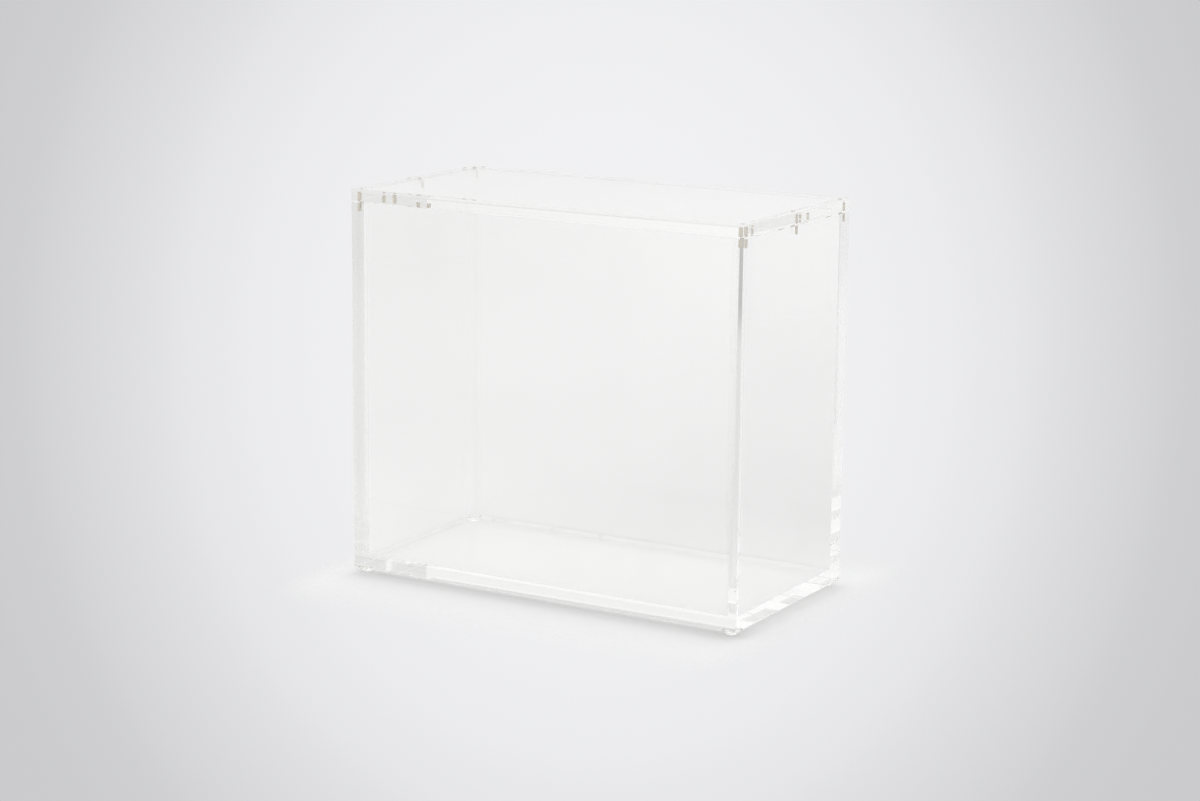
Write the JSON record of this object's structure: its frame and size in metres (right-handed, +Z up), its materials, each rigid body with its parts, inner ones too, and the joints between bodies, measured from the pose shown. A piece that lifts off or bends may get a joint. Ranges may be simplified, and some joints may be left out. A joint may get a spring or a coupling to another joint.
{
  "type": "acrylic display case",
  "caption": "Clear rectangular box of bonded acrylic sheet for showing a boxed collectible, with a loose flush lid held by rod magnets and domed feet.",
  "frame": {"origin": "on the surface the case stands on, midway between its four feet", "axes": "+X along the width, to the right as seen from the front; +Y from the front to the back; +Z up"},
  "size_m": [0.205, 0.104, 0.1835],
  "materials": {
    "clear_acrylic": "polished",
    "nickel_plate": "polished",
    "clear_polyurethane": "satin"
  },
  "bodies": {
    "case": {"base_panel": "clear_acrylic", "left_wall": "clear_acrylic", "right_wall": "clear_acrylic", "front_panel": "clear_acrylic", "back_panel": "clear_acrylic", "wall_magnet_front_left": "nickel_plate", "wall_magnet_middle_left": "nickel_plate", "wall_magnet_back_left": "nickel_plate", "wall_magnet_front_right": "nickel_plate", "wall_magnet_middle_right": "nickel_plate", "wall_magnet_back_right": "nickel_plate", "foot_front_left": "clear_polyurethane", "foot_back_left": "clear_polyurethane", "foot_front_right": "clear_polyurethane", "foot_back_right": "clear_polyurethane"},
    "lid": {"lid_panel": "clear_acrylic", "lid_magnet_front_left": "nickel_plate", "lid_magnet_middle_left": "nickel_plate", "lid_magnet_back_left": "nickel_plate", "lid_magnet_front_right": "nickel_plate", "lid_magnet_middle_right": "nickel_plate", "lid_magnet_back_right": "nickel_plate"}
  },
  "joints": [
    {"name": "lid_lift", "type": "slide", "parent": "case", "child": "lid", "axis": [0, 0, 1], "range_m": [0, 0.18]}
  ]
}
